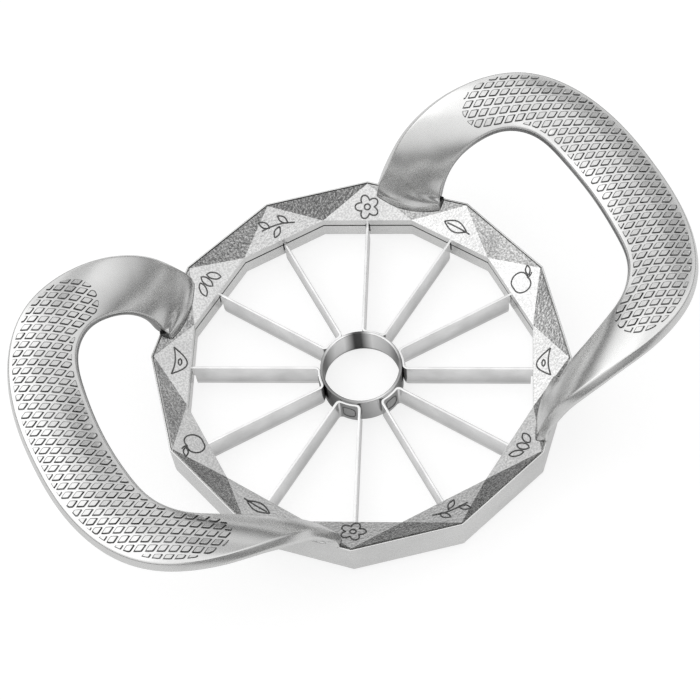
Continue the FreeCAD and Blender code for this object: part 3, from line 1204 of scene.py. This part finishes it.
def make_world():
    """Soft studio: light overhead and darker to the horizon, with a large light panel at the back
    on the left and two darker gaps."""
    world = bpy.data.worlds.new("studio")
    world.use_nodes = True
    nodes = world.node_tree.nodes
    links = world.node_tree.links
    direction = nodes.new("ShaderNodeTexCoord").outputs["Generated"]
    height = nodes.new("ShaderNodeSeparateXYZ")
    links.new(direction, height.inputs["Vector"])

    def nearness(side, edge, low, high):
        """A number that turns from low to high as the direction nears a side."""
        towards = nodes.new("ShaderNodeVectorMath")
        towards.operation = "DOT_PRODUCT"
        towards.inputs[1].default_value = side
        links.new(direction, towards.inputs[0])
        share = nodes.new("ShaderNodeMapRange")
        share.interpolation_type = "SMOOTHSTEP"
        fill_range(share, edge, (low, high))
        links.new(towards.outputs["Value"], share.inputs["Value"])
        return share.outputs["Result"]

    mix = nodes.new("ShaderNodeMix")
    mix.data_type = "RGBA"
    links.new(nearness(PANEL_SIDE, PANEL_EDGE, 0, 1), mix.inputs["Factor"])
    for socket, stops in (("A", SKY), ("B", PANEL)):
        ramp = nodes.new("ShaderNodeValToRGB")
        fill_ramp(ramp, stops)
        links.new(height.outputs["Z"], ramp.inputs["Fac"])
        links.new(ramp.outputs["Color"], mix.inputs[socket])
    links.new(mix.outputs["Result"], nodes["Background"].inputs["Color"])
    strength = nodes.new("ShaderNodeMath")
    strength.operation = "MULTIPLY"
    for i, (side, edge, depth) in enumerate(GAPS):
        links.new(nearness(side, edge, 1, 1 - depth), strength.inputs[i])
    links.new(strength.outputs["Value"], nodes["Background"].inputs["Strength"])
    bpy.context.scene.world = world


def make_floor():
    """Pale table; what sees it directly or by reflection sees it white, with the shadow kept."""
    corners = ((-1, -1), (1, -1), (1, 1), (-1, 1))
    mesh = bpy.data.meshes.new("floor")
    mesh.from_pydata([Vector((x, y, 0)) * FLOOR_SIZE * MM for x, y in corners], [], [(0, 1, 2, 3)])
    look = Look("floor", metallic=0.0)
    look.shader.inputs["Base Color"].default_value = FLOOR_COLOUR
    look.shader.inputs["Roughness"].default_value = FLOOR_ROUGHNESS
    look.shader.inputs["Specular IOR Level"].default_value = 0.0
    rays = look.nodes.new("ShaderNodeLightPath")
    glow = look.maths("MULTIPLY", rays.outputs["Is Camera Ray"], FLOOR_GLOW)
    for kind in ("Is Glossy Ray", "Is Transmission Ray"):
        glow = look.maths("MULTIPLY_ADD", rays.outputs[kind], FLOOR_GLOW_IN_METAL, glow)
    look.shader.inputs["Emission Color"].default_value = WHITE
    look.links.new(glow, look.shader.inputs["Emission Strength"])
    mesh.materials.append(look.material)
    floor = bpy.data.objects.new("floor", mesh)
    bpy.context.collection.objects.link(floor)


def make_key_lamp():
    """A soft lamp above, at the back on the left, turned to the part."""
    data = bpy.data.lights.new("key", "AREA")
    data.size = KEY_SIZE
    data.energy = KEY_POWER
    lamp = bpy.data.objects.new("key", data)
    lamp.location = Vector(KEY_PLACE)
    lamp.rotation_euler = (-lamp.location).to_track_quat("-Z", "Y").to_euler()
    bpy.context.collection.objects.link(lamp)


def make_camera():
    azimuth = math.radians(CAMERA_AZIMUTH)
    elevation = math.radians(CAMERA_ELEVATION)
    roll = math.radians(CAMERA_ROLL)
    back = Vector((
        math.sin(azimuth) * math.cos(elevation),
        -math.cos(azimuth) * math.cos(elevation),
        math.sin(elevation),
    ))
    level = Vector((math.cos(azimuth), math.sin(azimuth), 0))
    upward = back.cross(level)
    right = math.cos(roll) * level - math.sin(roll) * upward
    up = math.sin(roll) * level + math.cos(roll) * upward
    data = bpy.data.cameras.new("camera")
    data.lens = CAMERA_LENS
    data.sensor_width = CAMERA_SENSOR
    data.shift_x, data.shift_y = CAMERA_SHIFT
    camera = bpy.data.objects.new("camera", data)
    turn = Matrix((right, up, back)).transposed().to_4x4()
    camera.matrix_world = Matrix.Translation(CAMERA_TARGET + back * CAMERA_DISTANCE) @ turn
    bpy.context.collection.objects.link(camera)
    bpy.context.scene.camera = camera


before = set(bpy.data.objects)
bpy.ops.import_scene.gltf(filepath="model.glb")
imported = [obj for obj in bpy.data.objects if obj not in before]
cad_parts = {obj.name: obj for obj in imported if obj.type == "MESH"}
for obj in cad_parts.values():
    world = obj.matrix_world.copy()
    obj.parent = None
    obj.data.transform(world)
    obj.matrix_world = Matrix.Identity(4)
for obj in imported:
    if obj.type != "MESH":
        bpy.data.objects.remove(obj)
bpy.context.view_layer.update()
make_camera()
make_world()
make_floor()
make_key_lamp()
bpy.context.scene.view_settings.view_transform = "Standard"

zinc = satin_zinc("cast_zinc", CAST_TONES, CAST_ROUGHNESS)
# Painted shade for the handles' sides under the inner crease
side_zinc_painted_shade = satin_zinc("side_zinc_painted_shade", SIDE_SHADE_TONES, SIDE_ROUGHNESS)
# Painted shade for the seam between the casting and the crown
seam_zinc_painted_shade = satin_zinc("seam_zinc_painted_shade", SEAM_SHADE_TONES, SEAM_ROUGHNESS)
pad_zinc = satin_zinc("knurl_zinc", PAD_TONES, PAD_ROUGHNESS)
make_casting_ring(zinc, seam_zinc_painted_shade)
make_handles(zinc, side_zinc_painted_shade, pad_zinc, flank_zinc_painted_shade())
plain_zinc = blasted_zinc("crown_zinc", PLAIN_FACET_TONES, PLAIN_FACET_DEPTH)
facet_zinc = blasted_zinc("facet_zinc", MOTIF_FACET_TONES, MOTIF_FACET_DEPTH)
make_crown(plain_zinc, facet_zinc, zinc, seam_zinc_painted_shade)
line_metal = motif_zinc()
make_motifs(line_metal)
make_core(corer_steel_painted_reflections())
# Painted shade for the webs between the blades
web_steel_painted_shade = satin_zinc("web_steel_painted_shade", WEB_SHADE_TONES, WEB_ROUGHNESS)
make_blades(blade_steel(), web_steel_painted_shade)
make_welds(line_metal)
